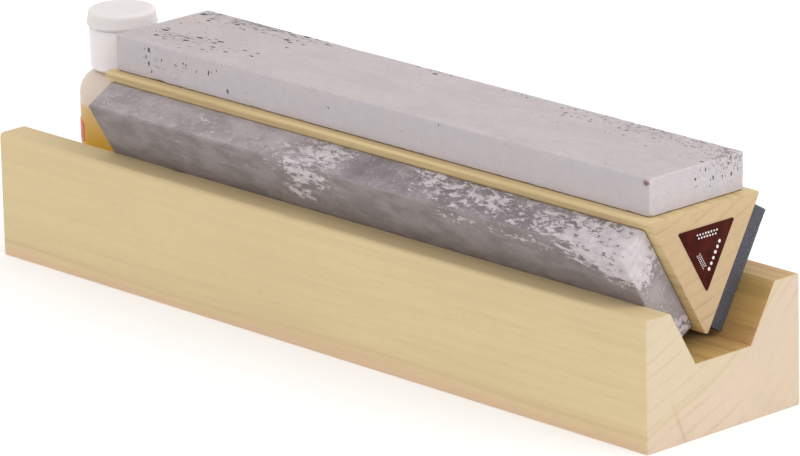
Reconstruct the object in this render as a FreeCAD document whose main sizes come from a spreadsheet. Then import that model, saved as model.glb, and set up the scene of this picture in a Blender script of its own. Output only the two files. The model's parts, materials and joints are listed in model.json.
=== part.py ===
import FreeCAD, Part
import os

import Sketcher

# A three-stone sharpening station in millimetres. +X runs along the trough towards the labelled end,
# +Z is up, and the origin is the middle of the cradle's underside.
#
# A wooden cradle has a trough with walls at 60 degrees. A triangular block carries one stone on each
# face and rests with the outer faces of the two lower stones on the trough's walls. A small oil bottle
# stands in the trough beyond the block's far end, under a screw cap with a flip lid.

DIMENSIONS = {
    # cradle
    "cradle_length": 250.0,
    "cradle_width": 55.0,
    "cradle_height": 35.1,
    "wall_land": 8.8,
    "trough_depth": 15.2,
    "wall_angle": 60.0,
    "front_edge_radius": 1.4,
    "rear_edge_radius": 0.5,
    # triangular block
    "block_length": 208.2,
    "block_side": 39.7,
    "block_edge_radius": 0.8,
    "block_end_gap": 5.8,
    # stones and the adhesive under them
    "stone_length": 203.2,
    "stone_width": 33.3,
    "medium_thickness": 9.95,
    "lower_thickness": 10.1,
    "stone_chamfer": 0.3,
    "medium_inset": 3.0,
    "fine_inset": 3.3,
    "coarse_inset": 5.2,
    "bond_thickness": 0.2,
    "bond_margin": 0.4,
    "seat_clearance": 0.02,
    # end label
    "label_side": 20.2,
    "label_thickness": 0.2,
    "label_corner": 0.4,
    "label_raise": 0.6,
    # bottle
    "bottle_centre": -103.7,
    "bottle_radius": 12.3,
    "bottle_wall": 0.9,
    "heel_radius": 6.1,
    "shoulder_height": 31.0,
    "shoulder_radius": 6.7,
    "neck_base": 32.0,
    "neck_radius": 6.3,
    "neck_bore": 4.9,
    "neck_top": 42.5,
    "base_rise": 0.8,
    "base_dish_radius": 4.6,
    "bottle_lift_gap": 0.02,
    "bore_overrun": 1.0,
    # oil
    "oil_level": 23.2,
    "oil_gap": 0.03,
    # bottle label: a band around the back of the bottle
    "band_bottom": 12.3,
    "band_height": 5.8,
    "band_gap": 0.02,
    "band_thickness": 0.15,
    "band_span": 220.0,
    "band_start": 31.0,
    # screw thread, the same pitch on the neck and in the cap
    "thread_pitch": 2.5,
    "neck_thread_start": 34.4,
    "neck_thread_turns": 2.0,
    "neck_thread_crest": 7.0,
    "cap_thread_turns": 1.5,
    "cap_thread_crest": 6.55,
    "tooth_root": 0.9,
    "tooth_crest": 0.4,
    "tooth_sink": 0.2,
    # cap
    "cap_seat": 32.2,
    "cap_height": 12.1,
    "cap_bottom_radius": 8.95,
    "cap_top_radius": 9.2,
    "cap_bottom_round": 1.3,
    "cap_bore": 7.25,
    "deck_thickness": 1.2,
    "nozzle_radius": 2.2,
    "nozzle_tip_radius": 1.9,
    "nozzle_height": 1.2,
    "orifice_radius": 1.0,
    # liner
    "liner_radius": 7.0,
    "liner_hole": 1.2,
    "liner_thickness": 0.5,
    "liner_gap": 0.05,
    # flip lid
    "lid_gap": 0.05,
    "lid_height": 4.6,
    "lid_top_radius": 9.25,
    "lid_waist_radius": 9.45,
    "lid_waist_height": 2.4,
    "skirt_radius": 9.85,
    "skirt_height": 0.8,
    "skirt_foot_radius": 9.35,
    "lid_inner_radius": 8.9,
    "lid_ceiling_radius": 8.5,
    "lid_top_thickness": 1.0,
    "lid_top_round": 0.9,
    "pin_radius": 0.75,
    # hinge between the cap and its lid
    "hinge_offset": 10.6,
    "hinge_radius": 0.6,
    "hinge_web": 0.6,
    "hinge_root": 9.2,
    "barrel_length": 3.0,
    "ear_gap": 0.1,
    "ear_length": 1.1,
    "ear_drop": 1.6,
}


def cell(name):
    """The expression that reads one driving dimension."""
    return f"Sheet.{name}"


# Lengths worked out from the driving dimensions, as expressions.
TROUGH_TOP = f"({cell('cradle_width')} / 2 - {cell('wall_land')})"
TROUGH_FLOOR = f"({TROUGH_TOP} - {cell('trough_depth')} / tan({cell('wall_angle')}))"
FLOOR_HEIGHT = f"({cell('cradle_height')} - {cell('trough_depth')})"
WALLS_MEET = f"({cell('cradle_height')} - {TROUGH_TOP} * tan({cell('wall_angle')}))"
INRADIUS = f"({cell('block_side')} / (2 * sqrt(3)))"
BLOCK_AXIS = (
    f"({WALLS_MEET} + ({INRADIUS} + {cell('bond_thickness')} + {cell('lower_thickness')}"
    f" + {cell('seat_clearance')}) / cos({cell('wall_angle')}))"
)
BLOCK_END = f"({cell('cradle_length')} / 2 - {cell('block_end_gap')})"
BOTTLE_BASE = f"({FLOOR_HEIGHT} + {cell('bottle_lift_gap')})"
# Inside its heel and its shoulder the bottle has a 45-degree bevel, as large as the rounded wall
# outside leaves room for.
INNER_HEEL = f"((2 - sqrt(2)) * ({cell('heel_radius')} - {cell('bottle_wall')}))"
INNER_SHOULDER = f"((2 - sqrt(2)) * ({cell('shoulder_radius')} - {cell('bottle_wall')}))"
CAP_BASE = f"({BOTTLE_BASE} + {cell('cap_seat')})"
DECK_UNDERSIDE = f"({cell('cap_height')} - {cell('deck_thickness')})"
LID_BASE = f"({CAP_BASE} + {cell('cap_height')} + {cell('lid_gap')})"
CAP_THREAD_START = (
    f"({cell('neck_thread_start')} - {cell('thread_pitch')} / 2 - {cell('cap_seat')})"
)

doc = FreeCAD.newDocument("SharpeningStation")


def fill_sheet():
    """Writes every driving dimension in the spreadsheet under its own alias."""
    sheet = doc.addObject("Spreadsheet::Sheet", "Sheet")
    for row, (name, value) in enumerate(DIMENSIONS.items(), start=1):
        sheet.set(f"A{row}", name)
        sheet.set(f"B{row}", str(value))
        sheet.setAlias(f"B{row}", name)
    doc.recompute()
    return sheet


sheet = fill_sheet()


def number(expression):
    """The present value of an expression, as a plain number."""
    value = sheet.evalExpression(expression)
    return float(getattr(value, "Value", value))


def new_body(label):
    body = doc.addObject("PartDesign::Body", label)
    body.Label = label
    return body


def origin_plane(body, role):
    return next(item for item in body.Origin.OriginFeatures if item.Role == role)


def new_sketch(body, name, role):
    sketch = body.newObject("Sketcher::SketchObject", name)
    sketch.AttachmentSupport = [(origin_plane(body, role), "")]
    sketch.MapMode = "FlatFace"
    return sketch


def tie(sketch, kind, geometry, position, expression):
    """Holds one point of a sketch at a signed distance from the sketch's origin."""
    index = sketch.addConstraint(
        Sketcher.Constraint(kind, -1, 1, geometry, position, number(expression))
    )
    sketch.setExpression(f"Constraints[{index}]", expression)


def place_point(sketch, geometry, position, across, up):
    """Holds a point at (across, up); a plain "0" puts it on the axis."""
    if across == "0":
        sketch.addConstraint(Sketcher.Constraint("PointOnObject", geometry, position, -2))
    else:
        tie(sketch, "DistanceX", geometry, position, across)
    if up == "0":
        sketch.addConstraint(Sketcher.Constraint("PointOnObject", geometry, position, -1))
    else:
        tie(sketch, "DistanceY", geometry, position, up)


def add_polygon(sketch, corners):
    """Draws a closed outline whose corners are pairs of expressions."""
    points = [FreeCAD.Vector(number(x), number(y), 0) for x, y in corners]
    first = sketch.GeometryCount
    count = len(points)
    for i in range(count):
        sketch.addGeometry(Part.LineSegment(points[i], points[(i + 1) % count]))
    for i in range(count):
        following = first + (i + 1) % count
        sketch.addConstraint(Sketcher.Constraint("Coincident", first + i, 2, following, 1))
    for i, (across, up) in enumerate(corners):
        place_point(sketch, first + i, 1, across, up)


def add_circle(sketch, across, up, radius):
    """Draws a circle with its centre and radius given as expressions."""
    centre = FreeCAD.Vector(number(across), number(up), 0)
    index = sketch.GeometryCount
    sketch.addGeometry(Part.Circle(centre, FreeCAD.Vector(0, 0, 1), number(radius)))
    place_point(sketch, index, 3, across, up)
    held = sketch.addConstraint(Sketcher.Constraint("Radius", index, number(radius)))
    sketch.setExpression(f"Constraints[{held}]", radius)


def polygon_sketch(body, name, role, corners):
    sketch = new_sketch(body, name, role)
    add_polygon(sketch, corners)
    return sketch


def pad(body, name, sketch, length, both_ways=False):
    feature = body.newObject("PartDesign::Pad", name)
    feature.Profile = sketch
    feature.setExpression("Length", length)
    if both_ways:
        feature.Midplane = True
    doc.recompute()
    return feature


def revolve(body, name, sketch, angle="360"):
    feature = body.newObject("PartDesign::Revolution", name)
    feature.Profile = sketch
    feature.ReferenceAxis = (sketch, ["V_Axis"])
    feature.setExpression("Angle", angle)
    doc.recompute()
    return feature


def groove(body, name, sketch):
    """Turns away a full ring of material, and checks that some was there."""
    before = body.Shape.Volume
    feature = body.newObject("PartDesign::Groove", name)
    feature.Profile = sketch
    feature.ReferenceAxis = (sketch, ["V_Axis"])
    feature.Angle = 360
    doc.recompute()
    if feature.Shape.Volume >= before:
        raise RuntimeError(f"{name} removed nothing")


def pocket_both_ways(body, name, sketch, length):
    """Cuts a slot centred on the sketch's plane, and checks that it removed material."""
    before = body.Shape.Volume
    feature = body.newObject("PartDesign::Pocket", name)
    feature.Profile = sketch
    feature.setExpression("Length", length)
    feature.Midplane = True
    doc.recompute()
    if feature.Shape.Volume >= before:
        raise RuntimeError(f"{name} removed nothing")
    return feature


def edge_names(feature, wanted):
    """The names of a feature's edges whose middle point and curve pass the test."""
    names = []
    for index, edge in enumerate(feature.Shape.Edges, start=1):
        middle = edge.valueAt((edge.FirstParameter + edge.LastParameter) / 2)
        if wanted(edge, middle):
            names.append(f"Edge{index}")
    if not names:
        raise RuntimeError(f"{feature.Name} has no such edge")
    return names


def ring_test(radius, height):
    """A test for circular edges around the vertical axis at a radius and height."""
    def wanted(edge, middle):
        if not isinstance(edge.Curve, Part.Circle):
            return False
        near_radius = abs(edge.Curve.Radius - radius) < 0.01
        near_height = abs(middle.z - height) < 0.01
        return near_radius and near_height
    return wanted


def fillet(body, name, feature, wanted, radius):
    rounding = body.newObject("PartDesign::Fillet", name)
    rounding.Base = (feature, edge_names(feature, wanted))
    rounding.setExpression("Radius", radius)
    doc.recompute()
    return rounding


def chamfer(body, name, feature, wanted, size):
    bevel = body.newObject("PartDesign::Chamfer", name)
    bevel.Base = (feature, edge_names(feature, wanted))
    bevel.setExpression("Size", size)
    doc.recompute()
    return bevel


def add_thread(body, name, root, crest, start, turns):
    """Adds a helical ridge: root and crest are radii, start is the height of its first middle."""
    half_root = f"{cell('tooth_root')} / 2"
    half_crest = f"{cell('tooth_crest')} / 2"
    tooth = polygon_sketch(
        body,
        f"{name}_tooth",
        "XZ_Plane",
        [
            (root, f"{start} - {half_root}"),
            (crest, f"{start} - {half_crest}"),
            (crest, f"{start} + {half_crest}"),
            (root, f"{start} + {half_root}"),
        ],
    )
    doc.recompute()
    helix = body.newObject("PartDesign::AdditiveHelix", name)
    helix.Profile = tooth
    helix.ReferenceAxis = (tooth, ["V_Axis"])
    helix.Mode = "pitch-turns-angle"
    helix.setExpression("Pitch", cell("thread_pitch"))
    helix.setExpression("Turns", turns)
    helix.Angle = 0
    helix.LeftHanded = False
    helix.Reversed = False
    doc.recompute()
    return helix


def stand_at(body, across="0", up="0"):
    """Places a body at a distance along X and a height, both as expressions."""
    body.setExpression("Placement.Base.x", across)
    body.setExpression("Placement.Base.z", up)


def stand_on_face(body, turn, distance, across):
    """Places a flat piece on one face of the block.

    turn is the face's angle about the block's long axis, 0 for the top, and distance is measured
    out from that axis. The piece's own +Z ends up pointing out of the face.
    """
    body.Placement.Rotation = FreeCAD.Rotation(FreeCAD.Vector(1, 0, 0), turn)
    body.setExpression("Placement.Base.x", across)
    body.setExpression("Placement.Base.y", f"-{distance} * sin({turn})")
    body.setExpression("Placement.Base.z", f"{BLOCK_AXIS} + {distance} * cos({turn})")


def centred_rectangle(length, width):
    return [
        (f"-({length}) / 2", f"-({width}) / 2"),
        (f"({length}) / 2", f"-({width}) / 2"),
        (f"({length}) / 2", f"({width}) / 2"),
        (f"-({length}) / 2", f"({width}) / 2"),
    ]


def triangle(side):
    """A triangle about its own centre, with one side level at the top."""
    inner = f"({side}) / (2 * sqrt(3))"
    return [
        (f"-({side}) / 2", inner),
        (f"({side}) / 2", inner),
        ("0", f"-2 * {inner}"),
    ]


def runs_along_x(edge):
    if not isinstance(edge.Curve, Part.Line):
        return False
    return abs(edge.Curve.Direction.x) > 0.999


def make_cradle():
    body = new_body("cradle")
    half = f"{cell('cradle_width')} / 2"
    outline = [
        (f"-{half}", "0"),
        (half, "0"),
        (half, cell("cradle_height")),
        (TROUGH_TOP, cell("cradle_height")),
        (TROUGH_FLOOR, FLOOR_HEIGHT),
        (f"-{TROUGH_FLOOR}", FLOOR_HEIGHT),
        (f"-{TROUGH_TOP}", cell("cradle_height")),
        (f"-{half}", cell("cradle_height")),
    ]
    section = polygon_sketch(body, "cradle_section", "YZ_Plane", outline)
    log = pad(body, "cradle_log", section, cell("cradle_length"), both_ways=True)
    width = number(half)
    height = number(cell("cradle_height"))

    def top_edge_at(side):
        def wanted(edge, middle):
            on_top = abs(middle.z - height) < 0.01
            return runs_along_x(edge) and on_top and abs(middle.y - side) < 0.01
        return wanted

    front = fillet(
        body, "front_rounding", log, top_edge_at(-width), cell("front_edge_radius")
    )
    fillet(body, "rear_rounding", front, top_edge_at(width), cell("rear_edge_radius"))
    return body


def make_block():
    body = new_body("triangle_block")
    section = polygon_sketch(body, "block_section", "YZ_Plane", triangle(cell("block_side")))
    prism = pad(body, "block_prism", section, cell("block_length"), both_ways=True)
    fillet(
        body,
        "block_corners",
        prism,
        lambda edge, middle: runs_along_x(edge),
        cell("block_edge_radius"),
    )
    stand_at(body, f"{BLOCK_END} - {cell('block_length')} / 2", BLOCK_AXIS)
    return body


def stone_centre(inset):
    """The middle of a stone along X, from how far it sits back from the block's near end."""
    return f"{BLOCK_END} - {cell(inset)} - {cell('stone_length')} / 2"


def make_stone(grade, turn, thickness, inset):
    body = new_body(f"{grade}_stone")
    outline = centred_rectangle(cell("stone_length"), cell("stone_width"))
    sketch = polygon_sketch(body, f"{grade}_outline", "XY_Plane", outline)
    slab = pad(body, f"{grade}_slab", sketch, cell(thickness))
    chamfer(
        body,
        f"{grade}_eased_edges",
        slab,
        lambda edge, middle: middle.z > 0.01,
        cell("stone_chamfer"),
    )
    distance = f"({INRADIUS} + {cell('bond_thickness')})"
    stand_on_face(body, turn, distance, stone_centre(inset))
    return body


def make_bond(grade, turn, inset):
    body = new_body(f"{grade}_bond")
    margin = f"2 * {cell('bond_margin')}"
    outline = centred_rectangle(
        f"{cell('stone_length')} - {margin}", f"{cell('stone_width')} - {margin}"
    )
    sketch = polygon_sketch(body, f"{grade}_film", "XY_Plane", outline)
    pad(body, f"{grade}_layer", sketch, cell("bond_thickness"))
    stand_on_face(body, turn, INRADIUS, stone_centre(inset))
    return body


def make_end_label():
    body = new_body("end_label")
    section = polygon_sketch(body, "label_outline", "YZ_Plane", triangle(cell("label_side")))
    sheet_stock = pad(body, "label_stock", section, cell("label_thickness"))
    fillet(
        body,
        "label_corners",
        sheet_stock,
        lambda edge, middle: runs_along_x(edge),
        cell("label_corner"),
    )
    stand_at(body, BLOCK_END, f"{BLOCK_AXIS} + {cell('label_raise')}")
    return body


def bottle_cavity():
    """The inside of the bottle from the floor up to past the neck's rim."""
    inner = f"({cell('bottle_radius')} - {cell('bottle_wall')})"
    floor = f"({cell('base_rise')} + {cell('bottle_wall')})"
    shoulder = f"({cell('shoulder_height')} - {cell('bottle_wall')})"
    past_rim = f"({cell('neck_top')} + {cell('bore_overrun')})"
    return [
        ("0", floor),
        (f"{inner} - {INNER_HEEL}", floor),
        (inner, f"{floor} + {INNER_HEEL}"),
        (inner, f"{shoulder} - {INNER_SHOULDER}"),
        (f"{inner} - {INNER_SHOULDER}", shoulder),
        (cell("neck_bore"), f"{cell('neck_base')} - {cell('bottle_wall')}"),
        (cell("neck_bore"), past_rim),
        ("0", past_rim),
    ]


def make_bottle():
    body = new_body("bottle_body")
    outline = [
        ("0", cell("base_rise")),
        (cell("base_dish_radius"), cell("base_rise")),
        (f"{cell('base_dish_radius')} + {cell('base_rise')}", "0"),
        (cell("bottle_radius"), "0"),
        (cell("bottle_radius"), cell("shoulder_height")),
        (cell("neck_radius"), cell("neck_base")),
        (cell("neck_radius"), cell("neck_top")),
        ("0", cell("neck_top")),
    ]
    profile = polygon_sketch(body, "bottle_profile", "XZ_Plane", outline)
    turned = revolve(body, "bottle_turned", profile)
    outer = number(cell("bottle_radius"))
    shoulder = number(cell("shoulder_height"))
    heel = fillet(body, "heel", turned, ring_test(outer, 0.0), cell("heel_radius"))
    rounded = fillet(
        body, "shoulder", heel, ring_test(outer, shoulder), cell("shoulder_radius")
    )
    add_thread(
        body,
        "neck_thread",
        f"{cell('neck_radius')} - {cell('tooth_sink')}",
        cell("neck_thread_crest"),
        cell("neck_thread_start"),
        cell("neck_thread_turns"),
    )
    if body.Shape.Volume <= rounded.Shape.Volume:
        raise RuntimeError("the neck thread added nothing")
    cavity = polygon_sketch(body, "cavity_profile", "XZ_Plane", bottle_cavity())
    groove(body, "cavity", cavity)
    stand_at(body, cell("bottle_centre"), BOTTLE_BASE)
    return body


def make_oil():
    body = new_body("honing_oil")
    radius = f"({cell('bottle_radius')} - {cell('bottle_wall')} - {cell('oil_gap')})"
    floor = f"({cell('base_rise')} + {cell('bottle_wall')} + {cell('oil_gap')})"
    outline = [
        ("0", floor),
        (f"{radius} - {INNER_HEEL}", floor),
        (radius, f"{floor} + {INNER_HEEL}"),
        (radius, cell("oil_level")),
        ("0", cell("oil_level")),
    ]
    profile = polygon_sketch(body, "oil_profile", "XZ_Plane", outline)
    revolve(body, "oil_column", profile)
    stand_at(body, cell("bottle_centre"), BOTTLE_BASE)
    return body


def make_bottle_label():
    body = new_body("bottle_label")
    inner = f"({cell('bottle_radius')} + {cell('band_gap')})"
    outer = f"({inner} + {cell('band_thickness')})"
    top = f"({cell('band_bottom')} + {cell('band_height')})"
    outline = [
        (inner, cell("band_bottom")),
        (outer, cell("band_bottom")),
        (outer, top),
        (inner, top),
    ]
    profile = polygon_sketch(body, "band_profile", "XZ_Plane", outline)
    revolve(body, "band", profile, cell("band_span"))
    start = number(cell("band_start"))
    body.Placement.Rotation = FreeCAD.Rotation(FreeCAD.Vector(0, 0, 1), start)
    stand_at(body, cell("bottle_centre"), BOTTLE_BASE)
    return body


def make_liner():
    body = new_body("cap_liner")
    outline = [
        (cell("liner_hole"), "0"),
        (cell("liner_radius"), "0"),
        (cell("liner_radius"), cell("liner_thickness")),
        (cell("liner_hole"), cell("liner_thickness")),
    ]
    profile = polygon_sketch(body, "liner_profile", "XZ_Plane", outline)
    revolve(body, "liner_disc", profile)
    stand_at(
        body,
        cell("bottle_centre"),
        f"{BOTTLE_BASE} + {cell('neck_top')} + {cell('liner_gap')}",
    )
    return body


def make_cap():
    body = new_body("cap_body")
    deck = cell("cap_height")
    tip = f"({deck} + {cell('nozzle_height')})"
    outline = [
        (cell("cap_bottom_radius"), "0"),
        (cell("cap_top_radius"), deck),
        (cell("nozzle_radius"), deck),
        (cell("nozzle_tip_radius"), tip),
        (cell("orifice_radius"), tip),
        (cell("orifice_radius"), DECK_UNDERSIDE),
        (cell("cap_bore"), DECK_UNDERSIDE),
        (cell("cap_bore"), "0"),
    ]
    profile = polygon_sketch(body, "cup_profile", "XZ_Plane", outline)
    cup = revolve(body, "cup", profile)
    fillet(
        body,
        "cup_rounding",
        cup,
        ring_test(number(cell("cap_bottom_radius")), 0.0),
        cell("cap_bottom_round"),
    )
    add_thread(
        body,
        "cap_thread",
        f"{cell('cap_bore')} + {cell('tooth_sink')}",
        cell("cap_thread_crest"),
        CAP_THREAD_START,
        cell("cap_thread_turns"),
    )
    add_ears(body)
    stand_at(body, cell("bottle_centre"), CAP_BASE)
    return body


def hinge_line_in_cap():
    """The hinge line's height above the cap's lower rim."""
    return f"({cell('cap_height')} + {cell('lid_gap')} / 2)"


def add_ears(body):
    """Two ears on the cup's rim, one on each side of the lid's knuckle."""
    height = hinge_line_in_cap()
    total = f"{cell('barrel_length')} + 2 * ({cell('ear_gap')} + {cell('ear_length')})"
    knuckle = new_sketch(body, "ear_knuckle", "XZ_Plane")
    add_circle(knuckle, f"-{cell('hinge_offset')}", height, cell("hinge_radius"))
    pad(body, "ear_knuckles", knuckle, total, both_ways=True)
    bracket = new_sketch(body, "ear_bracket", "XZ_Plane")
    low = f"({height} - {cell('ear_drop')})"
    high = f"({cell('cap_height')} - {cell('lid_gap')})"
    outer = f"-{cell('hinge_offset')}"
    inner = f"-({cell('hinge_root')} - {cell('hinge_radius')})"
    add_polygon(bracket, [(outer, high), (inner, low), (inner, high)])
    pad(body, "ear_brackets", bracket, total, both_ways=True)
    slot = new_sketch(body, "ear_slot", "XZ_Plane")
    left = f"-({cell('hinge_offset')} + 2 * {cell('hinge_radius')})"
    right = f"-{cell('cap_top_radius')}"
    base = f"({height} - 2 * {cell('ear_drop')})"
    top = f"({height} + 2 * {cell('hinge_radius')})"
    add_polygon(slot, [(left, base), (right, base), (right, top), (left, top)])
    gap = f"{cell('barrel_length')} + 2 * {cell('ear_gap')}"
    pocket_both_ways(body, "ear_gap", slot, gap)


def make_lid():
    body = new_body("cap_lid")
    ceiling = f"({cell('lid_height')} - {cell('lid_top_thickness')})"
    outline = [
        ("0", cell("lid_height")),
        ("0", "0"),
        (cell("pin_radius"), "0"),
        (cell("pin_radius"), ceiling),
        (cell("lid_ceiling_radius"), ceiling),
        (cell("lid_inner_radius"), "0"),
        (cell("skirt_foot_radius"), "0"),
        (cell("skirt_radius"), cell("skirt_height")),
        (cell("lid_waist_radius"), cell("lid_waist_height")),
        (cell("lid_top_radius"), cell("lid_height")),
    ]
    profile = polygon_sketch(body, "lid_profile", "XZ_Plane", outline)
    shell = revolve(body, "lid_shell", profile)
    rounded = fillet(
        body,
        "lid_rounding",
        shell,
        ring_test(number(cell("lid_top_radius")), number(cell("lid_height"))),
        cell("lid_top_round"),
    )
    if rounded.Shape.Volume >= shell.Shape.Volume:
        raise RuntimeError("the lid's rounding removed nothing")
    line = f"-{cell('lid_gap')} / 2"
    knuckle = new_sketch(body, "lid_knuckle", "XZ_Plane")
    add_circle(knuckle, f"-{cell('hinge_offset')}", line, cell("hinge_radius"))
    pad(body, "lid_barrel", knuckle, cell("barrel_length"), both_ways=True)
    web = new_sketch(body, "lid_web", "XZ_Plane")
    outer = f"-{cell('hinge_offset')}"
    inner = f"-{cell('hinge_root')}"
    add_polygon(
        web,
        [
            (outer, "0"),
            (inner, "0"),
            (inner, cell("hinge_web")),
            (outer, f"{cell('hinge_radius')} + {line}"),
        ],
    )
    pad(body, "lid_bridge", web, cell("barrel_length"), both_ways=True)
    stand_at(body, cell("bottle_centre"), LID_BASE)
    return body


def make_parts():
    """Builds every piece and returns them in the order of a bench strip-down."""
    parts = [make_cradle(), make_block()]
    faces = [
        ("medium", 0, "medium_thickness", "medium_inset"),
        ("fine", 120, "lower_thickness", "fine_inset"),
        ("coarse", 240, "lower_thickness", "coarse_inset"),
    ]
    for grade, turn, thickness, inset in faces:
        parts.append(make_stone(grade, turn, thickness, inset))
        parts.append(make_bond(grade, turn, inset))
    parts.append(make_end_label())
    parts.append(make_bottle())
    parts.append(make_bottle_label())
    parts.append(make_oil())
    parts.append(make_liner())
    parts.append(make_cap())
    parts.append(make_lid())
    return parts


def check(parts):
    """Stops before anything is written if a feature failed or a piece is not one sound solid."""
    doc.recompute()
    for item in doc.Objects:
        if "Invalid" in item.State or "Error" in item.State:
            raise RuntimeError(f"{item.Name} is {item.State}")
    for part in parts:
        shape = part.Shape
        if shape.isNull() or not shape.isValid():
            raise RuntimeError(f"{part.Label} is not a valid shape")
        if len(shape.Solids) != 1:
            raise RuntimeError(f"{part.Label} has {len(shape.Solids)} solids")


parts = make_parts()
check(parts)
os.makedirs("parts", exist_ok=True)
for part in parts:
    part.Shape.exportStep(os.path.join("parts", f"{part.Label}.step"))
    print(part.Label, round(part.Shape.Volume, 2))
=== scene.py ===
import json
import math
import random

import bmesh
import bpy
import numpy as np
from mathutils import Matrix, Vector, noise

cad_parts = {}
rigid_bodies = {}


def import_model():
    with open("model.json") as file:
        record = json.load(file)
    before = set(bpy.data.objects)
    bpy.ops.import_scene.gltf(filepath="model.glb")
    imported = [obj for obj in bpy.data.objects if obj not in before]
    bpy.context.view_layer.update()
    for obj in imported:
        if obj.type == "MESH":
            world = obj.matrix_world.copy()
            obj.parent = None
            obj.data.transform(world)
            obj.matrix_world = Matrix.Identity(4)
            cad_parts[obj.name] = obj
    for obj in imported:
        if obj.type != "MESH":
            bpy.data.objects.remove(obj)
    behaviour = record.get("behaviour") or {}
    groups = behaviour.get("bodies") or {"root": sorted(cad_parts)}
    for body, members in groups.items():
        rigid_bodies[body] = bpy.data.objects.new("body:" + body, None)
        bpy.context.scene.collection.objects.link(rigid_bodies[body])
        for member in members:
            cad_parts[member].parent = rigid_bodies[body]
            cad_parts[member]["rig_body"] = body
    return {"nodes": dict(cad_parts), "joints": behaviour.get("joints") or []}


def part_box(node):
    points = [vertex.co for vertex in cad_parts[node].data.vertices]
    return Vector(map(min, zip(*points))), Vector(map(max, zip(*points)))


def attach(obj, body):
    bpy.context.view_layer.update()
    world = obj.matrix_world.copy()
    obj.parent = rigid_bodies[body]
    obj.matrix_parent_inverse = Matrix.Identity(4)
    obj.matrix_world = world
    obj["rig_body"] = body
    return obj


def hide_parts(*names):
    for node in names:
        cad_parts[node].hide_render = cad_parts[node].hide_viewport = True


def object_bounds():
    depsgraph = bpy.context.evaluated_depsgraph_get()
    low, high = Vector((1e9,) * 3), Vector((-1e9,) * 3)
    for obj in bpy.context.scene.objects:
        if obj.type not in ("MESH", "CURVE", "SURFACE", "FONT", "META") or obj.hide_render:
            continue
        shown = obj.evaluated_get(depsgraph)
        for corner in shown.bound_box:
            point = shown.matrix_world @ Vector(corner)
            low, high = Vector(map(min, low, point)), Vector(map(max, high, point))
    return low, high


# The looks of a three-stone sharpening station: a wooden cradle, a triangular wooden block with a stone
# on each face, and a small bottle of honing oil with a screw cap and a flip lid.
#
# The frame is in metres. Shapes here are worked out in millimetres, and add_piece and set_points scale them.

MM = 0.001
OIL_LINE = 23.2

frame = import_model()
cad_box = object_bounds()


# ---------------------------------------------------------------- reading the frame

def box_mm(node):
    """Lowest and highest corner of a CAD node, in millimetres."""
    low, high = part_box(node)
    return np.array(low) / MM, np.array(high) / MM


def node_points(node):
    """Every vertex of a CAD node, in millimetres."""
    return np.array([v.co for v in frame["nodes"][node].data.vertices], float) / MM


def near_outline(node):
    """The outline of a prism's near end, counterclockwise seen from +X, as (y, z) points.

    The end's faces are kept in a list. A set's order, and with it the first point, would change
    from run to run, and the dings on the wood would move.
    """
    shell = bmesh.new()
    shell.from_mesh(frame["nodes"][node].data)
    bmesh.ops.remove_doubles(shell, verts=shell.verts, dist=1e-7)
    reach = max(v.co.x for v in shell.verts)
    end = [f for f in shell.faces if all(reach - v.co.x < 1e-6 for v in f.verts)]
    following = {}
    for face in end:
        for loop in face.loops:
            if sum(neighbour in end for neighbour in loop.edge.link_faces) == 1:
                following[loop.vert] = loop.link_loop_next.vert
    first = next(iter(following))
    outline = [first]
    while following[outline[-1]] is not first:
        outline.append(following[outline[-1]])
    points = np.array([(v.co.y / MM, v.co.z / MM) for v in outline])
    shell.free()
    return points


# ---------------------------------------------------------------- outlines

def turn_at(before, corner, after):
    """How far an outline turns at a corner, in radians, and the unit directions in and out."""
    come = (corner - before) / np.linalg.norm(corner - before)
    go = (after - corner) / np.linalg.norm(after - corner)
    cross = come[0] * go[1] - come[1] * go[0]
    return math.atan2(cross, float(come @ go)), come, go


def rounded(points, radii, steps=5):
    """A closed outline with each corner replaced by an arc of its own radius."""
    points = np.asarray(points, float)
    made = []
    for i, corner in enumerate(points):
        before, after = points[i - 1], points[(i + 1) % len(points)]
        turn, come, _ = turn_at(before, corner, after)
        setback = radii[i] * abs(math.tan(turn / 2))
        if setback < 1e-6:
            made.append(corner)
            continue
        start = corner - come * setback
        side = math.copysign(1.0, turn)
        centre = start + side * radii[i] * np.array([-come[1], come[0]])
        for step in range(steps + 1):
            angle = turn * step / steps
            spoke = start - centre
            made.append(centre + np.array([
                spoke[0] * math.cos(angle) - spoke[1] * math.sin(angle),
                spoke[0] * math.sin(angle) + spoke[1] * math.cos(angle),
            ]))
    return np.array(made)


def eased(points, radius, sharpest=math.radians(25)):
    """Takes the sharpness off an outline's outward corners."""
    radii = []
    for i, corner in enumerate(points):
        turn, _, _ = turn_at(points[i - 1], corner, points[(i + 1) % len(points)])
        radii.append(radius if turn > sharpest else 0.0)
    return rounded(points, radii)


def resampled(points, spacing):
    """Adds points along an outline's long sides, so that none is longer than the spacing."""
    made = []
    for i, start in enumerate(points):
        end = points[(i + 1) % len(points)]
        pieces = max(1, math.ceil(np.linalg.norm(end - start) / spacing))
        made.extend(start + (end - start) * k / pieces for k in range(pieces))
    return np.array(made)


def inward(points):
    """For each point of a counterclockwise outline, the step that moves both its sides in by one."""
    come = points - np.roll(points, 1, axis=0)
    go = np.roll(points, -1, axis=0) - points
    come /= np.linalg.norm(come, axis=1)[:, None]
    go /= np.linalg.norm(go, axis=1)[:, None]
    left_in = np.stack([-come[:, 1], come[:, 0]], axis=1)
    left_out = np.stack([-go[:, 1], go[:, 0]], axis=1)
    middle = left_in + left_out
    return 2 * middle / np.maximum((middle * middle).sum(axis=1), 1.0)[:, None]


# ---------------------------------------------------------------- pieces

def put_in_scene(name, data):
    """A new object that holds a mesh, a light or a camera."""
    made = bpy.data.objects.new(name, data)
    bpy.context.scene.collection.objects.link(made)
    return made


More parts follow.
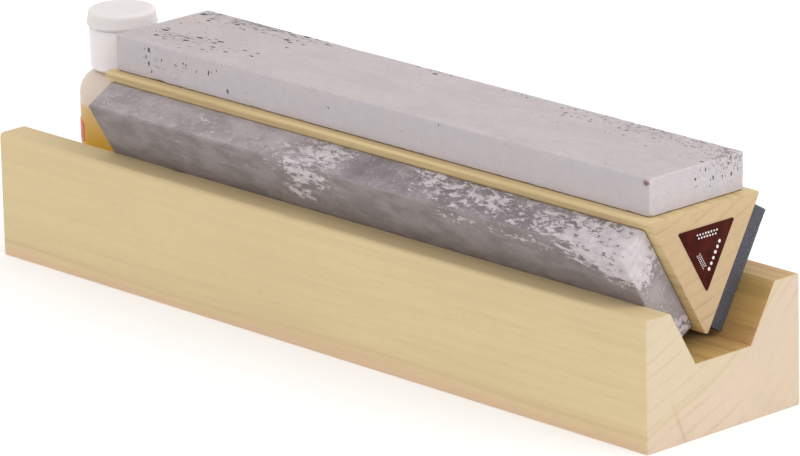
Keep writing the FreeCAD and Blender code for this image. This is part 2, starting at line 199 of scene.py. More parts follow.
def add_piece(name, points, faces, *materials):
    """A new object from points in millimetres, in the row frame."""
    mesh = bpy.data.meshes.new(name)
    mesh.from_pydata([tuple(p) for p in np.asarray(points, float) * MM], [], faces)
    for material in materials:
        mesh.materials.append(material)
    return put_in_scene(name, mesh)


def points_mm(piece):
    points = np.zeros(len(piece.data.vertices) * 3, np.float32)
    piece.data.vertices.foreach_get("co", points)
    return points.reshape(-1, 3).astype(float) / MM


def write_values(piece, name, values):
    """Stores one number, or one vector, for each vertex, where a material can read it."""
    values = np.asarray(values, np.float32)
    kind, key = ("FLOAT_VECTOR", "vector") if values.ndim == 2 else ("FLOAT", "value")
    layer = piece.data.attributes.new(name, kind, "POINT")
    layer.data.foreach_set(key, values.ravel())


def shade(piece, sharp_degrees=32):
    """Smooth shading that stops at edges sharper than the angle."""
    mesh = piece.data
    mesh.polygons.foreach_set("use_smooth", [True] * len(mesh.polygons))
    mesh.set_sharp_from_angle(angle=math.radians(sharp_degrees))
    mesh.update()


def settle(piece, node):
    """Stands a finished piece in for its CAD node, on the node's own body."""
    body = frame["nodes"][node]["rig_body"]
    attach(piece, body)
    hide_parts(node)


def apply_modifiers(piece):
    """Turns a piece with modifiers into a plain mesh."""
    graph = bpy.context.evaluated_depsgraph_get()
    mesh = bpy.data.meshes.new_from_object(piece.evaluated_get(graph), depsgraph=graph)
    piece.modifiers.clear()
    piece.data = mesh


def combine(piece, tool, operation):
    """Cuts a tool out of a piece, or joins it on, and removes the tool."""
    change = piece.modifiers.new("combine", "BOOLEAN")
    change.operation = operation
    change.solver = "EXACT"
    change.material_mode = "TRANSFER"
    change.object = tool
    apply_modifiers(piece)
    bpy.data.objects.remove(tool)


def weld(piece, distance_mm=0.001):
    """Merges points that coincide and turns every face outwards."""
    mesh = bmesh.new()
    mesh.from_mesh(piece.data)
    bmesh.ops.remove_doubles(mesh, verts=mesh.verts, dist=distance_mm * MM)
    bmesh.ops.recalc_face_normals(mesh, faces=mesh.faces)
    mesh.to_mesh(piece.data)
    mesh.free()


def ring_faces(rings, count, inward_first=False):
    """Quads from each ring of points to the next, and one face to close each end.

    With inward_first the faces look the other way at first, and weld turns them outwards later.
    """
    faces = []
    for ring in range(rings - 1):
        for i in range(count):
            a, b = ring * count + i, ring * count + (i + 1) % count
            faces.append((a, a + count, b + count, b) if inward_first else (a, b, b + count, a + count))
    first = tuple(range(count))
    last = tuple(range((rings - 1) * count, rings * count))
    ends = (first, last[::-1]) if inward_first else (first[::-1], last)
    return faces + list(ends)


def set_points(piece, points):
    """Moves a piece's vertices to the given places in millimetres."""
    piece.data.vertices.foreach_set("co", (points * MM).astype(np.float32).ravel())


def point_normals(piece):
    normals = np.zeros(len(piece.data.vertices) * 3, np.float32)
    piece.data.vertices.foreach_get("normal", normals)
    return normals.reshape(-1, 3)


def finish_piece(piece, node, origin, sharp_degrees=32):
    """Stores each point's place from the origin, then shades and settles the piece."""
    write_values(piece, "place", points_mm(piece) - origin)
    shade(piece, sharp_degrees)
    settle(piece, node)


# ---------------------------------------------------------------- prisms: cradle, block and label

def end_stations(low, high, arris, spacing, steps=3):
    """Places along X for a prism's rings, each with how far its outline is drawn in there."""
    stations = []
    for step in range(steps + 1):
        angle = math.radians(90) * step / steps
        reach, draw = arris * (1 - math.sin(angle)), arris * (1 - math.cos(angle))
        stations += [(low + reach, draw), (high - reach, draw)]
    count = math.ceil((high - low - 2 * arris) / spacing)
    stations += [(low + arris + (high - low - 2 * arris) * k / count, 0.0) for k in range(1, count)]
    return sorted(stations)


def prism(name, outline, low, high, arris, spacing, material):
    """A closed bar along X whose ends have a rounded arris."""
    step_in = inward(outline)
    points = []
    stations = end_stations(low, high, arris, spacing)
    for x, draw in stations:
        points.extend((x, y, z) for y, z in outline + step_in * draw)
    return add_piece(name, points, ring_faces(len(stations), len(outline)), material)


def recede(piece, depth, waves, seed):
    """Lets a surface sink by a slow noise, as planed and handled wood does. waves are in mm."""
    points = points_mm(piece)
    normals = point_normals(piece)
    shift = Vector((seed * 7.3, seed * 3.1, seed * 5.7))
    for i, point in enumerate(points):
        value = noise.noise(Vector(point / waves) + shift)
        points[i] -= normals[i] * depth * (0.5 + 0.5 * value)
    set_points(piece, points)


def mark_ends(piece, low, high, arris):
    """Marks end grain with 1 and long grain with 0."""
    x = points_mm(piece)[:, 0]
    near_end = np.minimum(x - low, high - x)
    write_values(piece, "end_grain", np.clip(1 - near_end / (arris * 0.6), 0, 1))


def dent(piece, places, radius, depth):
    """Presses small dings into a piece at the given places."""
    points = points_mm(piece)
    normals = point_normals(piece)
    for place in places:
        away = np.linalg.norm((points - place) * (0.6, 1, 1), axis=1)
        press = depth * np.exp(-(away / radius) ** 2)
        points -= normals * press[:, None]
    set_points(piece, points)


def mark_painted_shade(piece):
    """Marks the trough, and the land behind it less strongly, for painted shade."""
    low, high = box_mm("cradle")
    outline = near_outline("cradle")
    rim = min(abs(y) for y, z in outline if high[2] - z < 0.01)
    floor = min(z for y, z in outline if abs(y) < rim)
    points = points_mm(piece)
    inside = (np.abs(points[:, 1]) < rim - 0.3) & (points[:, 2] > floor - 0.5)
    rear_land = (points[:, 1] > rim - 0.3) & (points[:, 2] > high[2] - 0.4)
    along = np.minimum(points[:, 0] - low[0], high[0] - points[:, 0]) > 0.2
    # Painted shade: this mark darkens and browns the trough fully and the rear land less, for the shade and
    # bounced light there.
    write_values(piece, "painted_shade", along * np.where(inside, 1.0, 0.75 * rear_land))


OUTLINE_SPACING = 1.6
RING_SPACING = 2.2
PLANING_DEPTH = 0.05
PLANING_WAVES = np.array([38.0, 9.0, 9.0])
DING_RADIUS = 1.3
DING_DEPTH = 0.22


def wooden_bar(name, node, material, arris, dings, seed):
    """A planed wooden bar on a CAD node's own section."""
    low, high = box_mm(node)
    corners = near_outline(node)
    outline = resampled(eased(corners, arris * 1.5), OUTLINE_SPACING)
    piece = prism(name, outline, low[0], high[0], arris, RING_SPACING, material)
    piece.data.update()
    recede(piece, PLANING_DEPTH, PLANING_WAVES, seed)
    chance = random.Random(seed)
    places = []
    for _ in range(dings):
        y, z = chance.choice(corners)
        places.append((chance.uniform(low[0], high[0]), y, z))
    dent(piece, np.array(places), DING_RADIUS, DING_DEPTH)
    mark_ends(piece, low[0], high[0], arris)
    finish_piece(piece, node, (0, 0, 0))
    return piece


# ---------------------------------------------------------------- stones

def face_turn(turn_degrees):
    """The rotation about X that brings the block's top face round to another face."""
    return np.array(Matrix.Rotation(math.radians(turn_degrees), 3, "X"))


def own_box(node, turn):
    """A slab's box in its own frame, where its working face looks along +Z."""
    points = node_points(node) @ turn
    return points.min(axis=0), points.max(axis=0)


def slab_lines(low, high, spacing):
    """Grid lines from low to high, closer together near both ends."""
    rim = [0.0, 0.12, 0.3, 0.6, 1.0, 1.6, 2.4]
    start, end = low + rim[-1], high - rim[-1]
    count = max(1, math.ceil((end - start) / spacing))
    middle = [start + (end - start) * k / count for k in range(1, count)]
    return [low + r for r in rim] + middle + [high - r for r in reversed(rim)]


def box_shell(lines):
    """A closed box whose faces are cut into quads along the given lines of each axis."""
    index, points, faces = {}, [], []

    def corner(key):
        if key not in index:
            index[key] = len(points)
            points.append([lines[axis][key[axis]] for axis in range(3)])
        return index[key]

    for axis in range(3):
        across, along = (axis + 1) % 3, (axis + 2) % 3
        for level in (0, len(lines[axis]) - 1):
            for i in range(len(lines[across]) - 1):
                for j in range(len(lines[along]) - 1):
                    face = []
                    for step_i, step_j in ((0, 0), (1, 0), (1, 1), (0, 1)):
                        key = [0, 0, 0]
                        key[axis] = level
                        key[across] = i + step_i
                        key[along] = j + step_j
                        face.append(corner(tuple(key)))
                    faces.append(face if level else face[::-1])
    return np.array(points), faces


def worn_radius(points, base, seed, chips, worn_spots):
    """How far each point's nearest edge is worn: ragged everywhere, with chips and worn spots."""
    radius = np.empty(len(points))
    shift = Vector((seed * 11.7, seed * 4.9, seed * 8.3))
    for i, point in enumerate(points):
        ragged = noise.noise(Vector(point * 0.9) + shift)
        chip = noise.noise(Vector(point * 0.33) - shift)
        radius[i] = base * (1 + 0.55 * ragged) + max(0.0, chip - 0.34) * chips
    for place, size, reach in worn_spots:
        away = np.linalg.norm((points - place) / reach, axis=1)
        radius += size * np.exp(-away ** 2)
    return radius


def soften_edges(points, low, high, radius):
    """Rolls the corners of a box in by each point's own radius. Also returns an edge mask."""
    radius = radius[:, None]
    inner = np.clip(points, low + radius, high - radius)
    out = points - inner
    length = np.linalg.norm(out, axis=1)[:, None]
    moved = inner + out / np.maximum(length, 1e-9) * radius
    beyond = np.sort(np.abs(out) / radius, axis=1)[:, 1]
    moved = np.where(length > 1e-9, moved, points)
    return moved, np.clip(beyond * 1.5, 0, 1)


# A pit's outline never shrinks below SMALLEST_SWELL of its size. Two pits stay at least PIT_SPACING
# apart, counted in the sum of their half sizes.
GRID_SPACINGS = (1.3, 2.0, 2.0)
EDGE_BAND = 0.7
SMALLEST_SWELL = 0.45
PIT_SPACING = 1.75


def pit_cutter(pits, seed):
    """One mesh of small rough bowls. Each pit is (centre, half sizes), in the stone's own frame."""
    ball = bmesh.new()
    bmesh.ops.create_icosphere(ball, subdivisions=2, radius=1.0)
    shape = np.array([v.co for v in ball.verts])
    cells = [[v.index for v in f.verts] for f in ball.faces]
    ball.free()
    points, faces = [], []
    for number, (centre, half) in enumerate(pits):
        shift = Vector((number * 3.7, seed * 2.3, number * 1.9))
        broad = [noise.noise(Vector(p * 1.6) + shift) for p in shape]
        close = [noise.noise(Vector(p * 3.1) - shift) for p in shape]
        swell = np.maximum(SMALLEST_SWELL, 1 + 0.6 * np.array(broad) + 0.3 * np.array(close))
        start = len(points)
        points.extend(centre + shape * swell[:, None] * half)
        faces.extend([start + k for k in cell] for cell in cells)
    return np.array(points), faces


def scatter_pits(chance, clusters, low, high):
    """Pits on a slab's faces from clusters of (face, span along X, span across, count, size).

    Each pit is up to four small bowls side by side, so that its outline is ragged.
    """
    bowls = []
    for face, along, across, count, size in clusters:
        for _ in range(count):
            x = chance.uniform(*along)
            offset = across[0] + (across[1] - across[0]) * chance.random() ** 1.3
            for _ in range(chance.randint(1, 4)):
                aside = size * chance.uniform(-0.8, 0.8)
                lower = size * chance.uniform(-0.3, 0.3)
                bowls.append((face, x + aside, max(0.15, offset + lower), size))
    pits = []
    for face, x, offset, size in bowls:
        length = size * (0.2 + 0.72 * chance.random() ** 1.6)
        width = length * chance.uniform(0.3, 0.62)
        depth = length * chance.uniform(0.25, 0.4)
        upright = length * 0.8
        centre, half = {
            "top": ((low[0] + x, high[1] - offset, high[2]), (length, width, depth)),
            "front": ((low[0] + x, low[1], high[2] - offset), (width, depth, upright)),
            "rear": ((low[0] + x, high[1], high[2] - offset), (width, depth, upright)),
            "end": ((high[0], low[1] + x, high[2] - offset), (depth, width, upright)),
        }[face]
        centre, half = np.array(centre), np.array(half)
        if all(np.linalg.norm((centre - c) / (half + h)) > PIT_SPACING for c, h in pits):
            pits.append((centre, half))
    return pits


def slab(name, node, turn_degrees, looks, seed, base_edge, chips, worn_spots=(), pits=()):
    """One stone: a box with ragged, worn edges, and pits cut into it."""
    turn = face_turn(turn_degrees)
    low, high = own_box(node, turn)
    lines = [slab_lines(low[axis], high[axis], spacing) for axis, spacing in enumerate(GRID_SPACINGS)]
    grid, faces = box_shell(lines)
    spots = [(low + (high - low) * np.array(share), size, reach) for share, size, reach in worn_spots]
    radius = worn_radius(grid, base_edge, seed, chips, spots)
    shaped, _ = soften_edges(grid, low, high, radius)
    piece = add_piece(name, shaped, faces, *looks)
    found = scatter_pits(random.Random(seed), pits, low, high)
    if found:
        points, cells = pit_cutter(found, seed)
        tool = add_piece(name + "_pits", points, cells, looks[-1])
        combine(piece, tool, "DIFFERENCE")
    own = points_mm(piece)
    _, edge = soften_edges(own, low, high, np.full(len(own), EDGE_BAND))
    # The stone looks use this edge mask for a painted highlight along the edges.
    write_values(piece, "edge", edge)
    write_values(piece, "place", own - low)
    set_points(piece, own @ turn.T)
    piece.data.update()
    return piece, own - low, high - low


# ---------------------------------------------------------------- turned pieces

TURN_SEGMENTS = 160


def turned_piece(name, corners, centre, base, material):
    """A closed profile turned about a vertical axis, from corners of (radius, height, rounding)."""
    profile = rounded([(r, z) for r, z, _ in corners], [rounding for _, _, rounding in corners], 6)
    count = len(profile)
    points, faces = [], []
    for k in range(TURN_SEGMENTS):
        angle = 2 * math.pi * k / TURN_SEGMENTS
        for radius, height in profile:
            points.append((
                centre[0] + radius * math.cos(angle),
                centre[1] + radius * math.sin(angle),
                base + height,
            ))
        here, there = k * count, (k + 1) % TURN_SEGMENTS * count
        for i in range(count):
            j = (i + 1) % count
            faces.append((here + i, there + i, there + j, here + j))
    piece = add_piece(name, points, faces, material)
    weld(piece)
    return piece


# A ridge has THREAD_STEPS steps in a turn and reaches its full height within 1 / THREAD_FADE of a turn.
# Its section is points of (share of its height, millimetres up).
THREAD_STEPS = 72
THREAD_FADE = 6
THREAD_SECTION = [(0.0, -0.45), (0.75, -0.28), (1.0, 0.0), (0.75, 0.28), (0.0, 0.45)]


def helix_ridge(name, centre, start, turns, pitch, root, crest, material):
    """A screw ridge with a rounded crest that runs out to nothing at both ends."""
    steps = int(turns * THREAD_STEPS)
    points = []
    for k in range(steps + 1):
        share = k / steps
        fade = min(1.0, share * turns * THREAD_FADE, (1 - share) * turns * THREAD_FADE)
        angle = 2 * math.pi * turns * share
        for out, up in THREAD_SECTION:
            radius = root + (crest - root) * out * fade
            points.append((
                centre[0] + radius * math.cos(angle),
                centre[1] + radius * math.sin(angle),
                start + pitch * turns * share + up * max(fade, 0.15),
            ))
    faces = ring_faces(steps + 1, len(THREAD_SECTION), inward_first=True)
    piece = add_piece(name, points, faces, material)
    weld(piece)
    return piece


def cross_bar(name, outline, low, high, material, ease=0.12):
    """A small closed bar along Y with the given (x, z) outline and eased ends."""
    outline = np.asarray(outline, float)
    area = np.cross(outline, np.roll(outline, -1, axis=0)).sum()
    if area < 0:
        outline = outline[::-1]
    step_in = inward(outline)
    stations = [(low, ease), (low + ease * 0.3, ease * 0.3), (low + ease, 0.0)]
    stations += [(low + high - y, draw) for y, draw in reversed(stations)]
    points = []
    for y, draw in stations:
        points.extend((x, y, z) for x, z in outline + step_in * draw)
    piece = add_piece(name, points, ring_faces(len(stations), len(outline), inward_first=True), material)
    weld(piece)
    return piece


def disc_outline(x, z, radius, count=24):
    angles = [2 * math.pi * k / count for k in range(count)]
    return [(x + radius * math.cos(a), z + radius * math.sin(a)) for a in angles]


# ---------------------------------------------------------------- shader building

def paint(red, green, blue):
    """A colour given as 0 to 255 on a screen, as the linear colour that a material takes."""
    linear = []
    for value in (red, green, blue):
        share = value / 255
        linear.append(share / 12.92 if share <= 0.04045 else ((share + 0.055) / 1.055) ** 2.4)
    return (*linear, 1.0)


class Look:
    """One material, with short calls for the nodes behind it."""

    def __init__(self, name):
        self.material = bpy.data.materials.new(name)
        self.material.use_nodes = True
        self.tree = self.material.node_tree
        self.surface = self.tree.nodes["Principled BSDF"]

    def node(self, kind, inputs, **settings):
        made = self.tree.nodes.new("ShaderNode" + kind)
        for key, value in settings.items():
            setattr(made, key, value)
        for key, value in inputs.items():
            self.feed(made.inputs[key], value)
        return made

    def feed(self, socket, value):
        if isinstance(value, bpy.types.NodeSocket):
            self.tree.links.new(value, socket)
        else:
            socket.default_value = value

    def set(self, **values):
        """Sets inputs of the surface shader, with underscores for the spaces in their names."""
        for key, value in values.items():
            self.feed(self.surface.inputs[key.replace("_", " ")], value)

    def stored(self, name):
        return self.node("Attribute", {}, attribute_name=name).outputs["Fac"]

    def place(self):
        """The point's own place on its piece, in millimetres."""
        return self.node("Attribute", {}, attribute_name="place").outputs["Vector"]

    def split(self, vector):
        return self.node("SeparateXYZ", {"Vector": vector}).outputs

    def stretch(self, vector, scale):
        node = self.node("VectorMath", {0: vector, 1: scale}, operation="MULTIPLY")
        return node.outputs["Vector"]

    def noise(self, vector, scale, detail=2.0, roughness=0.5, distortion=0.0):
        """Noise from 0 to 1. scale is in waves per millimetre, one number or one for each axis."""
        if isinstance(scale, (int, float)):
            scale = (scale, scale, scale)
        inputs = {
            "Vector": self.stretch(vector, scale),
            "Scale": 1.0,
            "Detail": detail,
            "Roughness": roughness,
            "Distortion": distortion,
        }
        return self.node("TexNoise", inputs).outputs["Fac"]

    def cells(self, vector, scale):
        inputs = {"Vector": self.stretch(vector, (scale, scale, scale)), "Scale": 1.0}
        return self.node("TexVoronoi", inputs).outputs["Distance"]

    def calc(self, operation, first, second=0.0):
        return self.node("Math", {0: first, 1: second}, operation=operation).outputs[0]

    def plus(self, first, second):
        return self.calc("ADD", first, second)

    def minus(self, first, second):
        return self.calc("SUBTRACT", first, second)

    def times(self, first, second):
        return self.calc("MULTIPLY", first, second)

    def span(self, value, low, high, start=0.0, end=1.0):
        """Eases from start to end as value goes from low to high."""
        inputs = {"Value": value, "From Min": low, "From Max": high, "To Min": start, "To Max": end}
        return self.node("MapRange", inputs, interpolation_type="SMOOTHSTEP").outputs["Result"]

    def between(self, share, first, second):
        """The number from first to second that lies at the given share of the way."""
        return self.plus(first, self.times(share, second - first))

    def darken(self, tone, light):
        """Multiplies a colour by one number."""
        grey = self.node("CombineColor", {0: light, 1: light, 2: light}).outputs[0]
        return self.blend(1.0, tone, grey, "MULTIPLY")

    def blend(self, share, first, second, mode="MIX"):
        inputs = {0: share, 6: first, 7: second}
        return self.node("Mix", inputs, data_type="RGBA", blend_type=mode).outputs[2]

    def graded(self, value, low, high, first, second):
        """Goes from one colour to another as the value passes from low to high."""
        return self.blend(self.span(value, low, high), paint(*first), paint(*second))

    def tint(self, tone, value, low, high, strength, colour):
        """Lays a colour over the tone where the value passes from low to high."""
        return self.blend(self.span(value, low, high, 0.0, strength), tone, paint(*colour))

    def bump(self, height, strength, depth_mm):
        inputs = {"Height": height, "Strength": strength, "Distance": depth_mm * MM}
        self.set(Normal=self.node("Bump", inputs).outputs["Normal"])


# ---------------------------------------------------------------- wood

def wood(name, pith, gap, tones, lines, pink_from, branch=False):
    """Pale, close-grained wood cut from round the given pith, which runs along X.

    The rings, the fibres and the pores are one solid pattern, so they meet at every edge. tones names
    the colours of long grain, end grain, ring lines and the pinker outer wood, and lines gives how
    strongly the ring lines show on long grain and on end grain, then how strong the long streaks are.
    """
    look = Look(name)
    place = look.place()
    x, y, z = look.split(place)
    end = look.stored("end_grain")
    drift = look.noise(place, (0.005, 0.03, 0.03), detail=2.0)
    wander = look.times(look.minus(drift, 0.5), 7.0)
    across = look.minus(y, pith[0])
    up = look.minus(z, pith[1])
    squares = look.plus(look.times(across, across), look.times(up, up))
    radius = look.plus(look.calc("SQRT", squares), wander)

    pinkness = look.span(radius, pink_from - 1.0, pink_from + 2.0)
    faded = look.times(pinkness, look.span(radius, pink_from + 4.0, pink_from + 9.0, 1.0, 0.35))
    tone = look.blend(end, look.blend(faded, *tones["long"]), look.blend(pinkness, *tones["end"]))
    ring = look.calc("FRACT", look.calc("DIVIDE", radius, gap))
    late = look.times(look.span(ring, 0.62, 0.93), look.span(ring, 0.93, 1.0, 1.0, 0.0))
    patchy = look.noise(place, (0.012, 0.09, 0.09), detail=2.0)
    late = look.times(late, look.span(patchy, 0.35, 0.68, 0.2, 1.0))
    shown = look.times(late, look.between(end, *lines[:2]))
    tone = look.blend(shown, tone, tones["line"])
    border = look.calc("ABSOLUTE", look.minus(radius, pink_from - 1.2))
    tone = look.blend(look.span(border, 0.1, 1.1, lines[2] * 1.6, 0.0), tone, tones["line"])

    streak = look.noise(place, (0.012, 0.5, 0.5), detail=3.0, roughness=0.55)
    streaked = look.times(look.span(streak, 0.42, 0.72), look.between(end, lines[2], 0.04))
    tone = look.blend(streaked, tone, tones["line"])
    fibre = look.noise(place, (0.06, 2.4, 2.4), detail=3.0, roughness=0.6)
    cloud = look.noise(place, (0.012, 0.05, 0.05), detail=2.0)
    light = look.times(look.span(cloud, 0.3, 0.7, 0.975, 1.02), look.span(fibre, 0.25, 0.8, 0.97, 1.025))
    tone = look.darken(tone, light)
    pore = look.noise(place, (0.35, 4.2, 4.2), detail=1.0)
    pore = look.times(look.span(pore, 0.6, 0.76), look.between(end, 0.2, 0.26))
    tone = look.blend(pore, tone, tones["line"])
    if branch:
        tone = branch_trace(look, tone, tones["line"], across, up, radius, x)
    # Painted shade: where the stored mark is set, the tone is multiplied by a darker brown, for the shade and
    # bounced light in the trough and on the rear land.
    painted_shade = look.blend(look.span(streak, 0.36, 0.64), (0.66, 0.545, 0.345, 1.0), (0.87, 0.72, 0.47, 1.0))
    tone = look.blend(look.stored("painted_shade"), tone, look.blend(1.0, tone, painted_shade, "MULTIPLY"))
    look.set(Base_Color=tone, Roughness=look.span(fibre, 0.2, 0.8, 0.55, 0.7), Specular_IOR_Level=0.25)
    relief = look.plus(look.times(fibre, 0.7), look.times(late, 0.3))
    look.bump(relief, 0.2, 0.12)
    return look.material


def branch_trace(look, tone, dark, across, up, radius, x):
    """The thin trace of a small branch that crosses the rings near one end."""
    lean = look.calc("ARCTAN2", across, look.times(up, -1.0))
    off_line = look.calc("ABSOLUTE", look.minus(lean, math.radians(22.4)))
    off_line = look.times(off_line, radius)
    line = look.span(off_line, 0.1, 1.0, 1.0, 0.0)
    line = look.times(line, look.span(radius, 94.0, 104.0))
    line = look.times(line, look.span(x, 112.0, 122.0))
    return look.blend(look.times(line, 0.3), tone, dark)


# ---------------------------------------------------------------- stone

def stone_grain(look, place, tone, fine, coarse):
    """Lightens and darkens a stone's tone by its grains, finer and coarser."""
    small = look.noise(place, fine, detail=2.0, roughness=0.6)
    large = look.noise(place, coarse, detail=3.0, roughness=0.55)
    light = look.times(look.span(small, 0.25, 0.75, 0.95, 1.05), look.span(large, 0.3, 0.7, 0.975, 1.02))
    return look.darken(tone, light), small


def medium_stone_look():
    """Pale lilac-grey stone with faint rusty stains, small grey flecks and dense pecks in places."""
    look = Look("medium_stone_grain")
    place = look.place()
    mottle = look.noise(place, (0.05, 0.12, 0.12), detail=4.0, roughness=0.6)
    tone = look.graded(mottle, 0.35, 0.65, (184, 174, 176), (190, 180, 181))
    stain = look.noise(place, (0.05, 0.14, 0.14), detail=3.0, roughness=0.65, distortion=0.8)
    tone = look.tint(tone, stain, 0.6, 0.74, 0.35, (196, 174, 160))
    tone = look.blend(look.times(look.stored("side"), 0.8), tone, paint(189, 180, 182))
    cool = look.noise(place, (0.035, 0.12, 0.12), detail=3.0)
    cool = look.times(look.span(cool, 0.45, 0.62), look.stored("side"))
    tone = look.blend(look.times(cool, 0.6), tone, paint(183, 180, 185))
    fleck = look.noise(place, (0.5, 0.9, 0.9), detail=2.0, roughness=0.7)
    tone = look.tint(tone, fleck, 0.64, 0.76, 0.3, (140, 132, 136))
    pale = look.noise(place, 1.1, detail=1.0)
    tone = look.tint(tone, pale, 0.66, 0.78, 0.35, (216, 208, 210))

    pecks = look.noise(place, (0.34, 0.95, 0.95), detail=4.0, roughness=0.72)
    dense = look.plus(pecks, look.times(look.stored("pecked"), 0.22))
    tone = look.tint(tone, dense, 0.645, 0.72, 0.75, (126, 117, 120))
    ragged = look.noise(place, 0.9, detail=3.0, roughness=0.7)
    spot = look.span(look.plus(look.stored("rust"), ragged), 1.0, 1.22)
    tone = look.blend(look.times(spot, 0.85), tone, paint(118, 78, 64))
    # Painted highlight: the stone is lightened along its edges, broken up by noise.
    edge = look.times(look.stored("edge"), look.span(ragged, 0.3, 0.62, 0.0, 0.28))
    tone = look.blend(edge, tone, paint(216, 206, 209))
    tone, small = stone_grain(look, place, tone, 2.4, 0.3)
    look.set(Base_Color=tone, Roughness=look.span(small, 0.2, 0.8, 0.72, 0.88), Specular_IOR_Level=0.25)
    sunk = look.span(dense, 0.66, 0.84)
    look.bump(look.minus(small, sunk), 0.35, 0.1)
    return look.material


def pit_look(name, dark, rim):
    """The rough inside of a pit."""
    look = Look(name)
    place = look.place()
    grain = look.noise(place, 2.2, detail=3.0, roughness=0.7)
    tone = look.blend(look.span(grain, 0.3, 0.7), dark, rim)
    look.set(Base_Color=tone, Roughness=0.95, Specular_IOR_Level=0.1)
    look.bump(grain, 0.6, 0.12)
    return look.material


def fine_stone_look():
    """Grey stone clouded with white flakes, with small pale dots, and darker where it is honed on."""
    look = Look("fine_stone_grain")
    place = look.place()
    marble = look.noise(place, (0.1, 0.2, 0.2), detail=5.0, roughness=0.62, distortion=0.3)
    marble = look.span(marble, 0.36, 0.64)
    rough = look.blend(marble, paint(150, 141, 143), paint(168, 159, 161))
    honed = look.blend(marble, paint(126, 118, 117), paint(144, 135, 134))
    dusky = look.blend(marble, paint(124, 116, 119), paint(145, 137, 140))
    rough = look.blend(look.stored("dusk"), rough, dusky)
    tone = look.blend(look.stored("honed"), rough, honed)
    flake = look.noise(place, (0.26, 0.6, 0.6), detail=6.0, roughness=0.7, distortion=0.3)
    crumb = look.noise(place, (1.1, 1.6, 1.6), detail=3.0, roughness=0.7)
    cloud = look.stored("cloud")
    gap = look.times(look.span(cloud, 0.1, 0.7, 0.0, 0.75), look.span(flake, 0.42, 0.54, 1.0, 0.0))
    tone = look.blend(gap, tone, paint(118, 109, 113))
    level = look.plus(look.times(look.minus(flake, 0.5), 4.8), cloud)
    level = look.plus(level, look.times(look.minus(crumb, 0.5), 1.1))
    white = look.span(level, 0.42, 0.84)
    milk = look.noise(place, (0.3, 0.5, 0.5), detail=3.0)
    white_tone = look.graded(milk, 0.3, 0.7, (190, 180, 184), (208, 199, 202))
    tone = look.blend(look.times(white, 0.9), tone, white_tone)
    fleck = look.noise(place, (0.7, 1.1, 1.1), detail=3.0, roughness=0.75)
    dots = look.times(look.span(fleck, 0.55, 0.68, 0.0, 0.45), look.between(look.stored("honed"), 1.0, 0.25))
    tone = look.blend(dots, tone, paint(190, 182, 186))
    # Painted highlight: the stone is lightened along its edges, broken up by noise.
    edge = look.times(look.stored("edge"), look.span(crumb, 0.35, 0.6, 0.0, 0.2))
    tone = look.blend(edge, tone, paint(190, 182, 186))
    tone, small = stone_grain(look, place, tone, 2.2, 0.35)
    look.set(Base_Color=tone, Roughness=look.span(small, 0.2, 0.8, 0.7, 0.86), Specular_IOR_Level=0.25)
    look.bump(small, 0.3, 0.07)
    return look.material


def coarse_stone_look():
    """Dark blue-grey abrasive grit, with single grains that catch the light."""
    look = Look("coarse_stone_grit")
    place = look.place()
    grit = look.cells(place, 2.6)
    cloud = look.noise(place, 0.08, detail=3.0)
    tone = look.graded(grit, 0.1, 0.62, (62, 62, 71), (86, 86, 94))
    tone = look.tint(tone, cloud, 0.35, 0.68, 0.3, (82, 79, 83))
    spark = look.noise(place, 3.4, detail=0.0)
    tone = look.tint(tone, spark, 0.74, 0.82, 0.6, (165, 165, 175))
    # Painted highlight: the grit is lightened a little along the stone's edges.
    tone = look.blend(look.times(look.stored("edge"), 0.12), tone, paint(140, 140, 150))
    look.set(Base_Color=tone, Roughness=look.span(spark, 0.7, 0.8, 0.9, 0.45), Specular_IOR_Level=0.3)
    look.bump(grit, 0.5, 0.14)
    return look.material


# ---------------------------------------------------------------- plastics, paper, glue and oil

def glue_look():
    """Dark brown adhesive."""
    look = Look("glue_brown")
    grain = look.noise(look.place(), 0.6, detail=3.0)
    look.set(Base_Color=look.blend(grain, paint(58, 40, 26), paint(92, 64, 40)))
    look.set(Roughness=look.span(grain, 0.3, 0.7, 0.35, 0.6))
    look.bump(grain, 0.3, 0.1)
    return look.material


def label_look():
    """Maroon printed paper under a thin satin varnish."""
    look = Look("label_maroon")
    place = look.place()
    blotch = look.noise(place, 0.22, detail=3.0, roughness=0.6)
    fibre = look.noise(place, 3.0, detail=2.0)
    tone = look.graded(blotch, 0.35, 0.68, (55, 14, 8), (74, 23, 15))
    tone = look.tint(tone, fibre, 0.6, 0.8, 0.15, (100, 46, 40))
    look.set(Base_Color=tone, Roughness=look.span(fibre, 0.3, 0.7, 0.46, 0.6), Specular_IOR_Level=0.06)
    look.bump(fibre, 0.15, 0.03)
    return look.material


def ink_look():
    """White ink with a little wear."""
    look = Look("label_white_ink")
    wear = look.noise(look.place(), 2.0, detail=3.0)
    look.set(Base_Color=look.graded(wear, 0.3, 0.7, (205, 196, 192), (232, 226, 222)))
    look.set(Roughness=0.5)
    return look.material


def band_look():
    """Red-orange label paper with a paler line along its lower edge."""
    look = Look("bottle_band_red")
    place = look.place()
    height = look.split(place)[2]
    weave = look.noise(place, 1.4, detail=3.0)
    tone = look.graded(weave, 0.3, 0.7, (222, 84, 58), (236, 104, 76))
    low = look.span(height, 0.7, 0.9, 1.0, 0.0)
    line = look.times(look.span(height, 0.45, 0.6), low)
    tone = look.blend(look.times(line, 0.75), tone, paint(245, 214, 190))
    look.set(Base_Color=tone, Roughness=look.span(weave, 0.3, 0.7, 0.36, 0.5))
    look.bump(weave, 0.1, 0.03)
    return look.material


